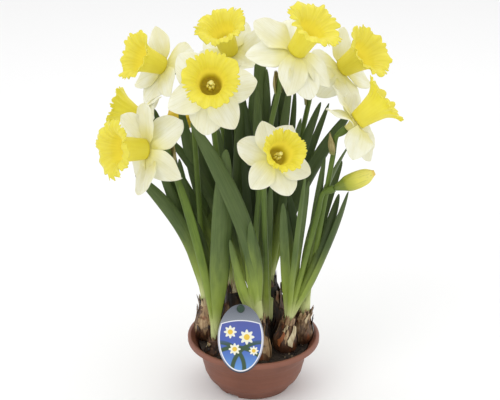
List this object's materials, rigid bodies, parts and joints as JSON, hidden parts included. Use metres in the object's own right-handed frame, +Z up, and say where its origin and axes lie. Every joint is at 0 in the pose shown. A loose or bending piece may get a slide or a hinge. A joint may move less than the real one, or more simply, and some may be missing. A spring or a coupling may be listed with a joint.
{
  "type": "potted daffodil",
  "caption": "Potted daffodil: a low round bowl of soil with papery brown bulbs, tall strap leaves, frilled yellow and cream blooms, buds and an oval plant label on a stake.",
  "frame": {"origin": "centre of the bowl's flat base, on the surface that it stands on", "axes": "+Z up along the leaves, -Y towards the front with the label, +X to the right seen from the front"},
  "size_m": [0.3414, 0.2181, 0.4807],
  "materials": {
    "bowl": "satin moulded plastic in terracotta brown",
    "soil": "matt, damp dark peat",
    "bulb": "dry papery brown skin",
    "leaf": "satin leaf, bluish green above and yellow-green at its foot",
    "petal": "soft matt petal, cream and white",
    "trumpet": "soft matt petal, deep yellow",
    "bud": "soft matt petal, greenish yellow",
    "spathe": "dry translucent papery skin",
    "label": "printed glossy plastic sheet",
    "stake": "satin moulded plastic, dark green"
  },
  "bodies": {
    "root": {"bowl": "bowl", "soil": "soil", "bulb_left": "bulb", "tuft_left": "leaf", "bulb_front_left": "bulb", "tuft_front_left": "leaf", "bulb_front": "bulb", "tuft_front": "leaf", "bulb_middle": "bulb", "tuft_middle": "leaf", "bulb_back_left": "bulb", "tuft_back_left": "leaf", "bulb_back_right": "bulb", "tuft_back_right": "leaf", "bulb_right": "bulb", "tuft_right": "leaf", "bulb_far_right": "bulb", "tuft_far_right": "leaf", "petals_a": "petal", "trumpet_a": "trumpet", "spathe_a": "spathe", "petals_b": "petal", "trumpet_b": "trumpet", "spathe_b": "spathe", "petals_c": "petal", "trumpet_c": "trumpet", "spathe_c": "spathe", "petals_d": "petal", "trumpet_d": "trumpet", "spathe_d": "spathe", "petals_e": "petal", "trumpet_e": "trumpet", "spathe_e": "spathe", "petals_f": "petal", "trumpet_f": "trumpet", "spathe_f": "spathe", "petals_g": "petal", "trumpet_g": "trumpet", "spathe_g": "spathe", "petals_h": "petal", "trumpet_h": "trumpet", "spathe_h": "spathe", "petals_i": "petal", "trumpet_i": "trumpet", "spathe_i": "spathe", "opening_bloom": "bud", "closed_bud": "bud", "label": "label", "label_stake": "stake"}
  },
  "joints": []
}
